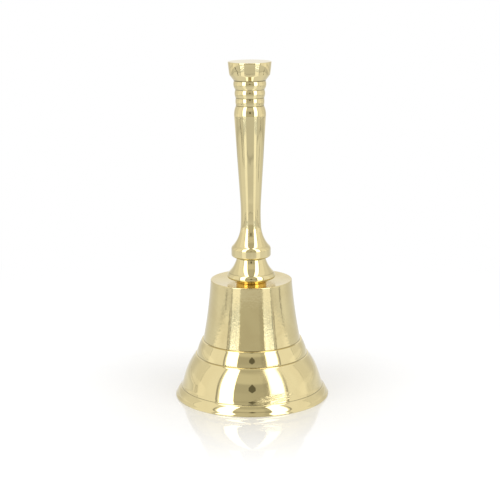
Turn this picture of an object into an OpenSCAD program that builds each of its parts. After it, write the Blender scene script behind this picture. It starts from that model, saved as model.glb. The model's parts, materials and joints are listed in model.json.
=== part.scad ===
// Sanctus bell: a small brass altar bell, rung by its upright handle.
//
// The bell is a stepped, turned casting that stands on its lip. An eye bolt comes up through
// its crown and a spacing collar and screws into the handle, and a nut under the crown locks
// it. A round link hangs in the bolt's eye, and the clapper hangs in the link.
//
// Millimetres. The origin is the centre of the mouth, on the plane the lip stands on, and +Z
// runs up the bell's axis to the cap of the handle.

/* [Bell] */
// Diameter of the mouth, across the lip
mouth_d = 79.7; // [78:0.1:82]
// Height of the bell from its mouth to the crown's edge
bell_h = 61.3; // [60:0.1:62.5]
// Diameter of the crown
crown_d = 41.8; // [40:0.2:43]
// Thickness of the crown at its edge
crown_t = 3.0; // [2.8:0.1:3.4]
// Depth of the shallow dish turned into the top of the crown
crown_dish = 1.2; // [0.8:0.1:1.4]
// Thickness of the wall above the lip
wall = 2.3; // [1.8:0.1:2.8]
// Thickness of the lip, the thickest part of the wall
lip_wall = 3.1; // [2.6:0.1:3.6]

/* [Bell steps] */
// Height of the lip band
lip_h = 5.0; // [4:0.1:5.5]
// Height of the ledge between the flare and the band
flare_top_z = 21.9; // [21:0.1:23]
// Height of the ledge between the band and the waist
band_top_z = 29.5; // [28.5:0.1:31]
// Diameter of the flare where it meets the lip
flare_d = 73.5; // [72.6:0.1:73.9]
// Diameter of the band where it meets the flare
band_d = 57.2; // [56.4:0.1:58]
// Diameter of the waist where it meets the band
waist_d = 50.1; // [49.4:0.1:50.8]
// Width of the ledge over the band
band_ledge_w = 1.0; // [0.5:0.1:1.2]
// Width of the ledge over the flare
flare_ledge_w = 0.75; // [0.5:0.05:1.2]

/* [Handle] */
// Overall height, from the mouth to the top of the cap
overall_h = 172.8; // [171:0.1:174]
// Height of the collar that fills the gap between the crown and the foot of the handle
collar_h = 2.2; // [1.8:0.1:2.4]
// Diameter of the collar
collar_d = 15.3; // [14:0.1:16.5]
// Diameter of the foot
foot_d = 24.6; // [23.6:0.1:25.6]
// Diameter of the knop above the foot
knop_d = 20.2; // [19.4:0.1:21]
// Diameter of the thinnest part of the grip
grip_min_d = 10.1; // [9.4:0.1:10.6]
// Diameter of the grip at its shoulder
grip_max_d = 16.2; // [15.6:0.1:16.8]
// Diameter of the cap
cap_d = 21.9; // [21:0.1:22.6]

/* [Fixing] */
// Thread diameter of the eye bolt
bolt_d = 5; // [4.6:0.1:5.4]
// Length of thread screwed into the handle
bolt_grip = 18; // [14:0.5:22]
// Outer diameter of the bolt's eye
eye_od = 8.5; // [8.1:0.1:8.8]
// Wire diameter of the bolt's eye
eye_wire = 2.5; // [2.2:0.1:2.6]

/* [Clapper] */
// Outer diameter of the round link
link_od = 8.6; // [8.4:0.1:9]
// Wire diameter of the round link
link_wire = 1.8; // [1.4:0.1:1.9]
// Outer diameter of the clapper's eye
clapper_eye_od = 7.4; // [7.2:0.1:7.8]
// Wire diameter of the clapper's eye
clapper_wire = 2.1; // [1.8:0.1:2.2]
// Diameter of the clapper rod
rod_d = 3; // [2.6:0.1:3.4]
// Diameter of the clapper ball
ball_d = 14; // [12:0.5:15]
// Height of the ball's centre above the mouth
ball_z = 12.2; // [11.9:0.1:14]

/* [Hidden] */

$fn = 96;

// Colours of the metals and of the leather washer
polished_brass = [0.85, 0.79, 0.60];
cast_brass = [0.78, 0.68, 0.44];
steel = [0.72, 0.73, 0.74];
brown_leather = [0.36, 0.22, 0.13];

// Play between a turning piece and what it hangs on
running_gap = 0.05;
// Play around a bolt in a plain hole
bolt_gap = 0.2;
// Overlap that keeps a cut clear of the face it breaks through
cut = 1;
// Sagitta of a quarter circle of unit radius, which rounds an edge
quarter = 1 - cos(45);
// Slope of a hexagon nut's chamfer
nut_chamfer = tan(30);
// Slope of the cone that a drill leaves
drill_slope = tan(31);

// Radii and heights of the bell's outline. The crown's dish has a flat seat for the collar.
mouth_r = mouth_d / 2;
crown_r = crown_d / 2;
flare_r = flare_d / 2;
band_r = band_d / 2;
waist_r = waist_d / 2;
flare_top_r = band_r + flare_ledge_w;
band_top_r = waist_r + band_ledge_w;
ledge_rise = 0.5;
edge = 0.5;
lip_knee_in = 0.7;
lip_knee_h = 1.6;
lip_knee = [mouth_r - lip_knee_in, lip_knee_h];
lip_step = 0.35;
lip_top = [flare_r + lip_step, lip_h];
crown_under = bell_h - crown_t;
crown_fillet = 2.8;
fillet_z = crown_under - crown_fillet;
crown_thinning = 0.3;
crown_inner_r = crown_r - wall + crown_thinning;
seat_z = bell_h - crown_dish;
flare_knee_in = 1.8;
flare_knee_rise = 5.9;
flare_knee = [flare_r - flare_knee_in, lip_h + flare_knee_rise];
seat_margin = 0.8;
seat_r = collar_d / 2 + seat_margin;

// Bows of the bell's arcs, outward where they are positive
lip_bow = 0.05;
lip_slope_bow = 0.24;
flare_foot_bow = -0.05;
flare_bow = 0.57;
band_bow = 0.25;
waist_bow = -0.5;

// Radii and heights up the handle, from its foot to its cap
foot_r = foot_d / 2;
foot_z = seat_z + collar_h;
foot_edge_z = foot_z + 0.7;
foot_rim = [foot_r - 0.55, foot_z + 2.6];
foot_top = [foot_r - 0.75, foot_z + 2.8];
neck = [7.4, 72.4];
knop_r = knop_d / 2;
knop_foot = [knop_r - 1.1, 73.3];
knop_round = 1.1;
knop_top_z = 77.6;
knop_shoulder = [9.0, 79.3];
valley_r = grip_min_d / 2 + 0.2;
flare_end_z = 88.8;
valley_end_z = 102;
shoulder = [grip_max_d / 2 - 0.1, 145];
bead_z = [150.8, 154.7, 158.9, 163.3];
bead_r = [7.05, 7.15, 7.35, 8.0];
cap_r = cap_d / 2;
cap_groove = [8.2, overall_h - 9.2];
cap_foot = [cap_r - 0.7, overall_h - 6.5];
cap_edge = 0.25;

// Bows of the handle's arcs
rim_bow = 0.12;
foot_bow = -0.6;
knop_bow = 0.2;
flare_out_bow = -0.8;
valley_bow = -0.2;
shoulder_bow = 0.4;
bead_bow = [0.2, 0.42, 0.56];
cap_bow = 0.14;

// Fixing stack under the crown, from the top down
leather_t = 0.8;
washer_t = 1.0;
lock_t = 1.2;
nut_t = 4.0;
nut_af = 8;
leather_d = 15;
washer_d = 12.4;
lock_d = 9.2;
leather_z = crown_under - leather_t;
washer_z = leather_z - washer_t;
lock_z = washer_z - lock_t;
nut_z = lock_z - nut_t;

// Centres of the three eyes and of the wires that they turn on, below the nut
eye_gap = 0.5;
eye_r = (eye_od - eye_wire) / 2;
eye_z = nut_z - eye_gap - eye_od / 2;
bolt_pivot_z = eye_z - eye_r;
link_r = (link_od - link_wire) / 2;
link_z = bolt_pivot_z + eye_wire / 2 + running_gap + link_wire / 2 - link_r;
link_pivot_z = link_z - link_r;
clapper_eye_r = (clapper_eye_od - clapper_wire) / 2;
clapper_eye_z = link_pivot_z + link_wire / 2 + running_gap + clapper_wire / 2 - clapper_eye_r;

// Ball and its two nuts
ball_flat = 0.3;
ball_nut_af = 5.5;
ball_nut_t = 2.4;
ball_top_z = ball_z + ball_d / 2 - ball_flat;
ball_under_z = ball_z - ball_d / 2 + ball_flat;
rod_tail = 0.7;
rod_end_z = ball_under_z - ball_nut_t - rod_tail;

// Points of a circular arc from p to q. The bow is the arc's height over its chord, and a
// positive one bends it to the right of the way from p to q, outward on an outline that climbs.
function arc(p, q, bow, steps = 12) =
    let (
        way = q - p,
        chord = norm(way),
        radius = (chord * chord / 4 + bow * bow) / (2 * abs(bow)),
        side = sign(bow),
        right = [way.y, -way.x] / chord * side,
        centre = (p + q) / 2 - right * (radius - abs(bow)),
        start = atan2(p.y - centre.y, p.x - centre.x),
        sweep = 2 * side * acos((radius - abs(bow)) / radius)
    )
    [for (i = [0 : steps])
        let (angle = start + sweep * i / steps)
        centre + radius * [cos(angle), sin(angle)]];

// Quarter-round edge of a given size from p to q
function soft_edge(p, q, size) = arc(p, q, quarter * size, 4);

// The bell's outer outline, climbing from the standing face of the lip to the crown
function bell_outside() = concat(
    soft_edge([mouth_r - edge, 0], [mouth_r, edge], edge),
    arc([mouth_r, edge], lip_knee, lip_bow, 4),
    arc(lip_knee, lip_top, lip_slope_bow, 6),
    arc([flare_r, lip_h + ledge_rise / 2], flare_knee, flare_foot_bow, 6),
    arc(flare_knee, [flare_top_r, flare_top_z - edge / 2], flare_bow, 16),
    arc([band_r, flare_top_z + ledge_rise], [band_top_r, band_top_z - edge / 2], band_bow, 8),
    arc([waist_r, band_top_z + ledge_rise], [crown_r, bell_h - edge], waist_bow, 16),
    soft_edge([crown_r, bell_h - edge], [crown_r - edge, bell_h], edge)
);

// The bell's inner outline, going down from the crown's fillet to the mouth
function bell_inside() = concat(
    soft_edge([crown_inner_r - crown_fillet, crown_under], [crown_inner_r, fillet_z], -crown_fillet),
    arc([crown_inner_r, fillet_z], [waist_r - wall, band_top_z], -waist_bow, 16),
    arc([flare_top_r - wall, flare_top_z], flare_knee - [wall, 0], -flare_bow, 16),
    arc(flare_knee - [wall, 0], [flare_r - wall, lip_h], -flare_foot_bow, 6),
    soft_edge([mouth_r - lip_wall, edge], [mouth_r - lip_wall + edge, 0], -edge)
);

// Stepped, turned casting with a hole through its crown for the eye bolt
module bell_body() {
    bolt_hole_r = bolt_d / 2 + bolt_gap;
    color(polished_brass)
    rotate_extrude()
    polygon(concat(
        bell_outside(),
        [[seat_r, seat_z], [bolt_hole_r, seat_z], [bolt_hole_r, crown_under]],
        bell_inside()
    ));
}

// The handle's outline from its foot to the end of its cap
function handle_outside() = concat(
    arc([foot_r - edge, foot_z], [foot_r, foot_edge_z], quarter * edge, 4),
    arc([foot_r, foot_edge_z], foot_rim, rim_bow, 6),
    arc(foot_top, neck, foot_bow),
    [knop_foot],
    soft_edge([knop_r - knop_round, knop_foot.y], [knop_r, knop_foot.y + knop_round], knop_round),
    arc([knop_r, knop_top_z], knop_shoulder, knop_bow, 6),
    arc(knop_shoulder, [valley_r, flare_end_z], flare_out_bow),
    arc([valley_r, flare_end_z], [valley_r, valley_end_z], valley_bow),
    arc(shoulder, [bead_r[0], bead_z[0]], shoulder_bow, 8),
    [for (i = [0 : 2]) each
        arc([bead_r[i], bead_z[i]], [bead_r[i + 1], bead_z[i + 1]], bead_bow[i], 10)],
    [cap_groove],
    arc(cap_foot, [cap_r, overall_h - cap_edge], cap_bow, 6),
    soft_edge([cap_r, overall_h - cap_edge], [cap_r - cap_edge, overall_h], cap_edge)
);

// Handle turned from one bar, with a blind tapped hole in its foot
module handle() {
    hole_spare = 2;
    hole_end = foot_z + bolt_grip + hole_spare;
    drill_point = bolt_d / 2 * drill_slope;
    color(polished_brass)
    rotate_extrude()
    polygon(concat(
        handle_outside(),
        [[0, overall_h], [0, hole_end + drill_point], [bolt_d / 2, hole_end], [bolt_d / 2, foot_z]]
    ));
}

// Flat ring standing on the height z
module ring(outer_d, hole_d, height, z) {
    translate([0, 0, z])
    difference() {
        cylinder(d = outer_d, h = height);
        translate([0, 0, -cut]) cylinder(d = hole_d, h = height + 2 * cut);
    }
}

// Round wire bent into a ring around the Y axis
module wire_ring(centre_r, wire_d) {
    rotate([90, 0, 0])
    rotate_extrude()
    translate([centre_r, 0]) circle(d = wire_d, $fn = 48);
}

// Hexagon nut standing on the height z, with both rims chamfered
module hex_nut(across_flats, thread_d, height, z) {
    corner_r = across_flats / 2 / cos(30);
    drop = (corner_r - across_flats / 2) * nut_chamfer;
    translate([0, 0, z])
    difference() {
        intersection() {
            cylinder(r = corner_r, h = height, $fn = 6);
            rotate_extrude() polygon([
                [0, 0], [across_flats / 2, 0], [corner_r, drop],
                [corner_r, height - drop], [across_flats / 2, height], [0, height]
            ]);
        }
        translate([0, 0, -cut]) cylinder(d = thread_d, h = height + 2 * cut);
    }
}

// Turned spacer that holds the handle's foot off the crown
module crown_collar() {
    color(polished_brass) ring(collar_d, bolt_d + 2 * bolt_gap, collar_h, seat_z);
}

// Leather washer that keeps the steel off the casting
module leather_washer() {
    color(brown_leather) ring(leather_d, bolt_d + 2 * bolt_gap, leather_t, leather_z);
}

// Plain washer
module crown_washer() {
    color(steel) ring(washer_d, bolt_d + 2 * bolt_gap, washer_t, washer_z);
}

// Split spring washer, pressed flat, with a slanted gap
module lock_washer() {
    gap_w = 0.6;
    gap_slant = 30;
    color(steel)
    difference() {
        ring(lock_d, bolt_d + 2 * bolt_gap, lock_t, lock_z);
        translate([0, lock_d / 2, lock_z + lock_t / 2])
        rotate([0, gap_slant, 0])
        cube([gap_w, lock_d, 4 * lock_t], center = true);
    }
}

// Nut that locks the bolt and clamps the crown against the foot
module clamp_nut() {
    color(steel) hex_nut(nut_af, bolt_d, nut_t, nut_z);
}

// Threaded shank that ends in an eye, whose plane is XZ
module eye_bolt() {
    shank_end = foot_z + bolt_grip;
    shank_start = eye_z + eye_r;
    tip = 0.6;
    color(steel)
    union() {
        translate([0, 0, eye_z]) wire_ring(eye_r, eye_wire);
        translate([0, 0, shank_start]) cylinder(d = bolt_d, h = shank_end - tip - shank_start);
        translate([0, 0, shank_end - tip]) cylinder(d1 = bolt_d, d2 = bolt_d - 2 * tip, h = tip);
    }
}

// Closed round link in the YZ plane
module link_ring() {
    color(steel)
    translate([0, 0, link_z]) rotate([0, 0, 90]) wire_ring(link_r, link_wire);
}

// Clapper rod with an eye in the XZ plane and a threaded lower end
module clapper_rod() {
    tip = 0.4;
    rod_start = clapper_eye_z - clapper_eye_r;
    color(steel)
    union() {
        translate([0, 0, clapper_eye_z]) wire_ring(clapper_eye_r, clapper_wire);
        translate([0, 0, rod_end_z + tip]) cylinder(d = rod_d, h = rod_start - rod_end_z - tip);
        translate([0, 0, rod_end_z]) cylinder(d1 = rod_d - 2 * tip, d2 = rod_d, h = tip);
    }
}

// Nut that seats on top of the ball
module upper_ball_nut() {
    color(steel) hex_nut(ball_nut_af, rod_d, ball_nut_t, ball_top_z);
}

// Nut that holds the ball up
module lower_ball_nut() {
    color(steel) hex_nut(ball_nut_af, rod_d, ball_nut_t, ball_under_z - ball_nut_t);
}

// Turned ball with a flat for each nut, drilled through for the rod
module clapper_ball() {
    color(cast_brass)
    difference() {
        translate([0, 0, ball_z]) sphere(d = ball_d);
        translate([0, 0, ball_top_z]) cylinder(d = ball_d, h = ball_d);
        translate([0, 0, ball_under_z - ball_d]) cylinder(d = ball_d, h = ball_d);
        translate([0, 0, ball_z - ball_d]) cylinder(d = rod_d, h = 2 * ball_d);
    }
}

bell_body();
crown_collar();
handle();
leather_washer();
crown_washer();
lock_washer();
clamp_nut();
eye_bolt();
link_ring();
clapper_rod();
upper_ball_nut();
clapper_ball();
lower_ball_nut();
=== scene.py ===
"""Looks of a small polished brass sanctus bell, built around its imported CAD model.

The turned brass pieces are lathed here from their outlines, with finer edges and steps than the
CAD solids that they stand for, and the steel fixings and the clapper inside get their threads,
chamfers and seams. Each piece rides on the CAD body that carries it.

Lengths are in metres. The origin is the centre of the bell's mouth, on the floor, with +Z up.
"""

import json
import logging
import math
from collections.abc import Callable
from dataclasses import dataclass, field
from enum import Enum

import bmesh
import bpy
from mathutils import Matrix, Vector

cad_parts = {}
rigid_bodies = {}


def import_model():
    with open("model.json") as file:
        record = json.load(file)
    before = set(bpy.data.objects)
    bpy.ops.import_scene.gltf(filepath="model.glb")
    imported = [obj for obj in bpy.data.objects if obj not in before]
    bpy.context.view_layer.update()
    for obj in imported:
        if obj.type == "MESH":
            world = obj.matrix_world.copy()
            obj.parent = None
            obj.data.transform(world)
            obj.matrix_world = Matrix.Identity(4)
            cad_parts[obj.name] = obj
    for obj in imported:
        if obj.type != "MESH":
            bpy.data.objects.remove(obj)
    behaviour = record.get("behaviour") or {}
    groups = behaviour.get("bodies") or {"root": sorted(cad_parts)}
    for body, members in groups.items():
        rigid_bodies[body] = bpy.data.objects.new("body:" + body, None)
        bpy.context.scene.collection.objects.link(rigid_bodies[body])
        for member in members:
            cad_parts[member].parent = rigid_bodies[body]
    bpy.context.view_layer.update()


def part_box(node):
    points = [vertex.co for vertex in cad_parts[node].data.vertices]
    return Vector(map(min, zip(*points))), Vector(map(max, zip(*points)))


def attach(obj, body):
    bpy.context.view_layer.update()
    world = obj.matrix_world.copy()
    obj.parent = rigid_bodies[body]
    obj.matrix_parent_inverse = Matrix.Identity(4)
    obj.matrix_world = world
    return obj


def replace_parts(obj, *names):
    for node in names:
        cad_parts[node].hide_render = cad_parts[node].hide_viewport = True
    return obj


for leftover in list(bpy.data.objects):
    bpy.data.objects.remove(leftover)
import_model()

LOG = logging.getLogger("sanctus_bell")

MM = 0.001
MICRON = 0.001 * MM
TURN = 2 * math.pi
# Height of a quarter circle's arc over its chord, for a unit radius
QUARTER_BOW = 1 - math.cos(math.radians(45))

Colour = tuple[float, float, float]


class Body(Enum):
    """CAD bodies that pieces ride on."""

    BELL = "bell"
    LINK = "link"
    CLAPPER = "clapper"


class Slot(Enum):
    """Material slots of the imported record."""

    BELL = "bell_brass"
    HANDLE = "handle_brass"
    COLLAR = "collar_brass"
    BALL = "ball_brass"
    BOLT = "bolt_steel"
    NUT = "nut_steel"
    WASHER = "washer_steel"
    LINK = "link_steel"
    ROD = "rod_steel"
    LEATHER = "leather"


# ---------------------------------------------------------------- shader building


def linear(colour: Colour) -> tuple[float, float, float, float]:
    """Turn a display colour into the linear colour that a shader takes.

    Args:
        colour: Red, green and blue from 0 to 1, as they look on a screen.

    Returns:
        The linear colour with full alpha.
    """
    def channel(value: float) -> float:
        """Linear value of one channel."""
        return value / 12.92 if value <= 0.04045 else ((value + 0.055) / 1.055) ** 2.4

    return (*(channel(value) for value in colour), 1.0)


Source = bpy.types.NodeSocket | float | tuple
Triple = tuple[float, float, float]
Step = tuple[float, float, float]
Stairs = tuple[float | Step, ...]
WHITE = (1.0, 1.0, 1.0, 1.0)


class Graph:
    """Short calls that add and join the nodes of one material or group."""

    def __init__(self, tree: bpy.types.NodeTree) -> None:
        """Take over an empty node tree."""
        self.tree = tree

    def add(self, kind: str, **settings: object) -> bpy.types.Node:
        """Add a node.

        Args:
            kind: The node's type name without its ShaderNode prefix.
            **settings: Node properties to set.

        Returns:
            The new node.
        """
        node = self.tree.nodes.new("ShaderNode" + kind)
        for name, value in settings.items():
            setattr(node, name, value)
        return node

    def feed(self, socket: bpy.types.NodeSocket, source: Source) -> None:
        """Join a source to a socket, or set the socket's own value.

        Args:
            socket: The input to feed.
            source: Another node's output, a number or a tuple.
        """
        if isinstance(source, bpy.types.NodeSocket):
            self.tree.links.new(source, socket)
        else:
            socket.default_value = source

    def math(self, operation: str, *values: Source, clamp: bool = False) -> bpy.types.NodeSocket:
        """Add a Math node.

        Args:
            operation: The node's operation, such as MULTIPLY.
            *values: One to three inputs.
            clamp: Whether the result is kept from 0 to 1.

        Returns:
            The node's output.
        """
        return self.chain("Math", *values, operation=operation, use_clamp=clamp)

    def times(self, first: Source, second: Source, clamp: bool = False) -> bpy.types.NodeSocket:
        """Multiply two values."""
        return self.math("MULTIPLY", first, second, clamp=clamp)

    def over(self, first: Source, second: Source) -> bpy.types.NodeSocket:
        """Divide a value by another."""
        return self.math("DIVIDE", first, second)

    def plus(self, first: Source, second: Source) -> bpy.types.NodeSocket:
        """Add two values."""
        return self.math("ADD", first, second)

    def minus(self, first: Source, second: Source) -> bpy.types.NodeSocket:
        """Take a value from another."""
        return self.math("SUBTRACT", first, second)

    def dim(self, level: Source, mask: Source, share: Source) -> bpy.types.NodeSocket:
        """Take a share off a level where a mask is 1."""
        return self.times(level, self.minus(1.0, self.times(mask, share)))

    def hypot(self, across: Source, along: Source) -> bpy.types.NodeSocket:
        """Distance from two sides at a right angle."""
        squares = self.plus(self.times(across, across), self.times(along, along))
        return self.math("SQRT", squares)

    def bearing(self, x: Source, y: Source) -> bpy.types.NodeSocket:
        """Angle round the Z axis in degrees, to the right of the front."""
        return self.math("DEGREES", self.math("ARCTAN2", x, self.times(y, -1.0)))

    def chain(self, kind: str, *sources: Source, **settings: object) -> bpy.types.NodeSocket:
        """Add a node, feed its inputs in order and return its first output."""
        node = self.add(kind, **settings)
        for socket, source in zip(node.inputs, sources):
            self.feed(socket, source)
        return node.outputs[0]

    def wire(self, node: bpy.types.Node, **sources: Source) -> bpy.types.Node:
        """Feed a node's inputs by name, with spaces written as underscores, and return it."""
        for name, source in sources.items():
            self.feed(node.inputs[name.replace("_", " ")], source)
        return node

    def place(self) -> bpy.types.NodeSocket:
        """Object coordinates in metres."""
        return self.add("TexCoord").outputs["Object"]

    def crease(self) -> bpy.types.NodeSocket:
        """How far the surface lies in a crease, from 0 to 1."""
        return self.add("Attribute", attribute_name="crease").outputs["Fac"]

    def split(self, vector: Source) -> list[bpy.types.NodeSocket]:
        """Split a vector into x, y and z."""
        return list(self.wire(self.add("SeparateXYZ"), Vector=vector).outputs)

    def length(self, vector: Source) -> bpy.types.NodeSocket:
        """Length of a vector."""
        node = self.add("VectorMath", operation="LENGTH")
        self.feed(node.inputs[0], vector)
        return node.outputs["Value"]

    def cells(self, vector: Source, scale: float, feature: str) -> bpy.types.NodeSocket:
        """Distance in a pattern of cells."""
        node = self.add("TexVoronoi", feature=feature)
        return self.wire(node, Vector=vector, Scale=scale).outputs["Distance"]

    def emission(self, colour: Source, strength: Source) -> bpy.types.NodeSocket:
        """Add a glow."""
        return self.wire(self.add("Emission"), Color=colour, Strength=strength).outputs[0]

    def surface(self, shader: bpy.types.NodeSocket) -> None:
        """Make a shader the material's surface."""
        self.wire(self.add("OutputMaterial"), Surface=shader)

    def principled(self, **sources: Source) -> None:
        """Make a Principled shader the surface, with its inputs by name."""
        self.surface(self.wire(self.add("BsdfPrincipled"), **sources).outputs[0])

    def remap(self, value: Source, low: float, high: float, to_low: float = 0.0,
              to_high: float = 1.0, smooth: bool = False) -> bpy.types.NodeSocket:
        """Map a range of values onto another, clamped at its ends.

        Args:
            value: The value to map.
            low: Value that becomes to_low.
            high: Value that becomes to_high.
            to_low: Result at low.
            to_high: Result at high.
            smooth: Whether the change eases in and out.

        Returns:
            The mapped value.
        """
        kind = "SMOOTHSTEP" if smooth else "LINEAR"
        node = self.add("MapRange", interpolation_type=kind)
        self.wire(node, Value=value, From_Min=low, From_Max=high, To_Min=to_low, To_Max=to_high)
        return node.outputs["Result"]

    def _mixed(self, kind: str, value: str, *sources: Source) -> bpy.types.NodeSocket:
        """Add a Mix node for one kind of value, fed with a share and two values."""
        node = self.add("Mix", data_type=kind)
        for name, source in zip(("Factor_Float", f"A_{value}", f"B_{value}"), sources):
            self.feed(next(s for s in node.inputs if s.identifier == name), source)
        return next(s for s in node.outputs if s.identifier == f"Result_{value}")

    def mix(self, factor: Source, first: Source, second: Source) -> bpy.types.NodeSocket:
        """Mix two colours by the share of the second."""
        return self._mixed("RGBA", "Color", factor, first, second)

    def lerp(self, factor: Source, first: Source, second: Source) -> bpy.types.NodeSocket:
        """Mix two numbers by the share of the second."""
        return self._mixed("FLOAT", "Float", factor, first, second)

    def stair(self, value: Source, first: float, *steps: Step) -> bpy.types.NodeSocket:
        """Turn a rising value into a level that changes over some of its ranges.

        Args:
            value: The value to read.
            first: The level at the start.
            *steps: Start and end of each change, and the level after it.

        Returns:
            The level.
        """
        level, last = first, first
        for low, high, after in steps:
            change = self.remap(value, low, high, 0.0, after - last, smooth=True)
            level = self.plus(level, change)
            last = after
        return level

    def band(self, value: Source, low: float, high: float, soft: float) -> bpy.types.NodeSocket:
        """Mask of a range of a value, with soft ends.

        Args:
            value: The value to read.
            low: Start of the range.
            high: End of the range.
            soft: Half the width of each soft end.

        Returns:
            The mask.
        """
        rise = self.remap(value, low - soft, low + soft, smooth=True)
        fall = self.remap(value, high - soft, high + soft, 1.0, 0.0, smooth=True)
        return self.times(rise, fall)

    def noise(self, vector: Source, scale: float, detail: float = 2.0, roughness: float = 0.5,
              distortion: float = 0.0) -> bpy.types.NodeSocket:
        """Add a noise texture and return its value.

        Args:
            vector: Coordinates to read.
            scale: Size of the pattern, in features per metre.
            detail: Number of finer octaves.
            roughness: Strength of the finer octaves.
            distortion: How far the pattern is warped.

        Returns:
            Noise from 0 to 1 around a half.
        """
        node = self.add("TexNoise", normalize=True)
        self.wire(node, Vector=vector, Scale=scale, Detail=detail, Roughness=roughness,
                  Distortion=distortion)
        return node.outputs["Fac"]

    def mapping(self, vector: Source, scale: Triple, turn: Triple = (0.0, 0.0, 0.0),
                place: Triple = (0.0, 0.0, 0.0)) -> bpy.types.NodeSocket:
        """Scale, turn and move coordinates.

        Args:
            vector: Coordinates to map.
            scale: Scale along each axis.
            turn: Rotation around each axis, in degrees.
            place: Offset along each axis.

        Returns:
            The mapped coordinates.
        """
        turned = tuple(math.radians(angle) for angle in turn)
        node = self.add("Mapping")
        self.wire(node, Vector=vector, Scale=scale, Rotation=turned, Location=place)
        return node.outputs["Vector"]

    def bump(self, height: Source, strength: float, depth: float,
             normal: bpy.types.NodeSocket | None = None) -> bpy.types.NodeSocket:
        """Turn a height into a normal.

        Args:
            height: Height from 0 to 1.
            strength: Share of the bump that is used.
            depth: Real depth of a height of 1, in metres.
            normal: A coarser bump that this one adds to.

        Returns:
            The bumped normal.
        """
        node = self.wire(self.add("Bump"), Strength=strength, Distance=depth, Height=height)
        if normal is not None:
            self.wire(node, Normal=normal)
        return node.outputs["Normal"]

    def group(self, tree: bpy.types.NodeTree, **values: Source) -> bpy.types.Node:
        """Place a node group, with its inputs by name."""
        return self.wire(self.add("Group", node_tree=tree), **values)


def blank(name: str) -> tuple[bpy.types.Material, Graph]:
    """Make a material without nodes.

    Args:
        name: The material's name.

    Returns:
        The material and its graph.
    """
    made = bpy.data.materials.new(name)
    made.use_nodes = True
    made.node_tree.nodes.clear()
    return made, Graph(made.node_tree)


@dataclass(frozen=True)
class Port:
    """One input or output of a node group."""

    name: str
    kind: str = "NodeSocketFloat"
    value: float | tuple | None = None


def new_group(name: str, inputs: list[Port], outputs: list[Port]) -> tuple[Graph, dict, dict]:
    """Make an empty node group with its ports.

    Args:
        name: The group's name.
        inputs: Its inputs.
        outputs: Its outputs.

    Returns:
        The group's graph, its input sockets by name, and its output sockets by name.
    """
    tree = bpy.data.node_groups.new(name, "ShaderNodeTree")
    for port in inputs:
        made = tree.interface.new_socket(name=port.name, in_out="INPUT", socket_type=port.kind)
        if port.value is not None:
            made.default_value = port.value
    for port in outputs:
        tree.interface.new_socket(name=port.name, in_out="OUTPUT", socket_type=port.kind)
    way_in = tree.nodes.new("NodeGroupInput")
    way_out = tree.nodes.new("NodeGroupOutput")
    return (
        Graph(tree),
        {port.name: way_in.outputs[port.name] for port in inputs},
        {port.name: way_out.inputs[port.name] for port in outputs},
    )


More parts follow.
